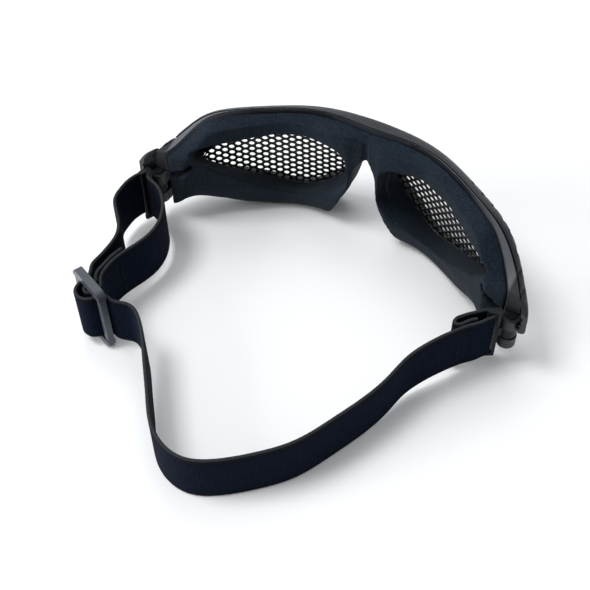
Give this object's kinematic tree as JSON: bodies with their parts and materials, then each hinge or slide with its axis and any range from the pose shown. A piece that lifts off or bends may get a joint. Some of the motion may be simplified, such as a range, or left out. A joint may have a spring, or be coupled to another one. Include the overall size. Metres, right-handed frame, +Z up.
{
  "type": "mesh safety goggles",
  "caption": "Wrap-round safety goggles with perforated sheet lenses, a soft face pad and an elastic head strap on swivel clips, with a slider to set its length.",
  "frame": {"origin": "middle of the bottom of the whole object, as it stands on its lower edge with the strap looped behind", "axes": "+Z up, the lenses look towards -Y, +X is the wearer's left"},
  "size_m": [0.1662, 0.1556, 0.052],
  "materials": {
    "shell_plastic": "satin",
    "frame_plastic": "satin gloss",
    "pad_rubber": "matte",
    "lens_paint": "satin",
    "strap_webbing": "ribbed",
    "buckle_plastic": "satin gloss",
    "clip_plastic": "satin gloss"
  },
  "bodies": {
    "goggles": {"outer_shell": "shell_plastic", "inner_frame": "frame_plastic", "face_pad": "pad_rubber", "mesh_lens_left": "lens_paint", "mesh_lens_right": "lens_paint", "hinge_pin_left": "clip_plastic", "hinge_pin_right": "clip_plastic", "strap_outer": "strap_webbing", "strap_inner": "strap_webbing", "strap_run": "strap_webbing"},
    "clip_left": {"strap_clip_left": "clip_plastic", "strap_loop_left": "strap_webbing"},
    "clip_right": {"strap_clip_right": "clip_plastic", "strap_end_right": "strap_webbing"},
    "slider": {"slider_buckle": "buckle_plastic", "strap_slider_wrap": "strap_webbing", "strap_sewn_end": "strap_webbing"}
  },
  "joints": [
    {"name": "clip_left_swivel", "type": "hinge", "parent": "goggles", "child": "clip_left", "pos_m": [0.0764, -0.02881, 0.01675], "axis": [0, 0, 1], "range_deg": [-15, 35]},
    {"name": "clip_right_swivel", "type": "hinge", "parent": "goggles", "child": "clip_right", "pos_m": [-0.0764, -0.02881, 0.01675], "axis": [0, 0, 1], "range_deg": [-10, 35]},
    {"name": "slider_slide", "type": "slide", "parent": "goggles", "child": "slider", "axis": [0, 1, 0], "range_m": [0, 0.008]}
  ]
}
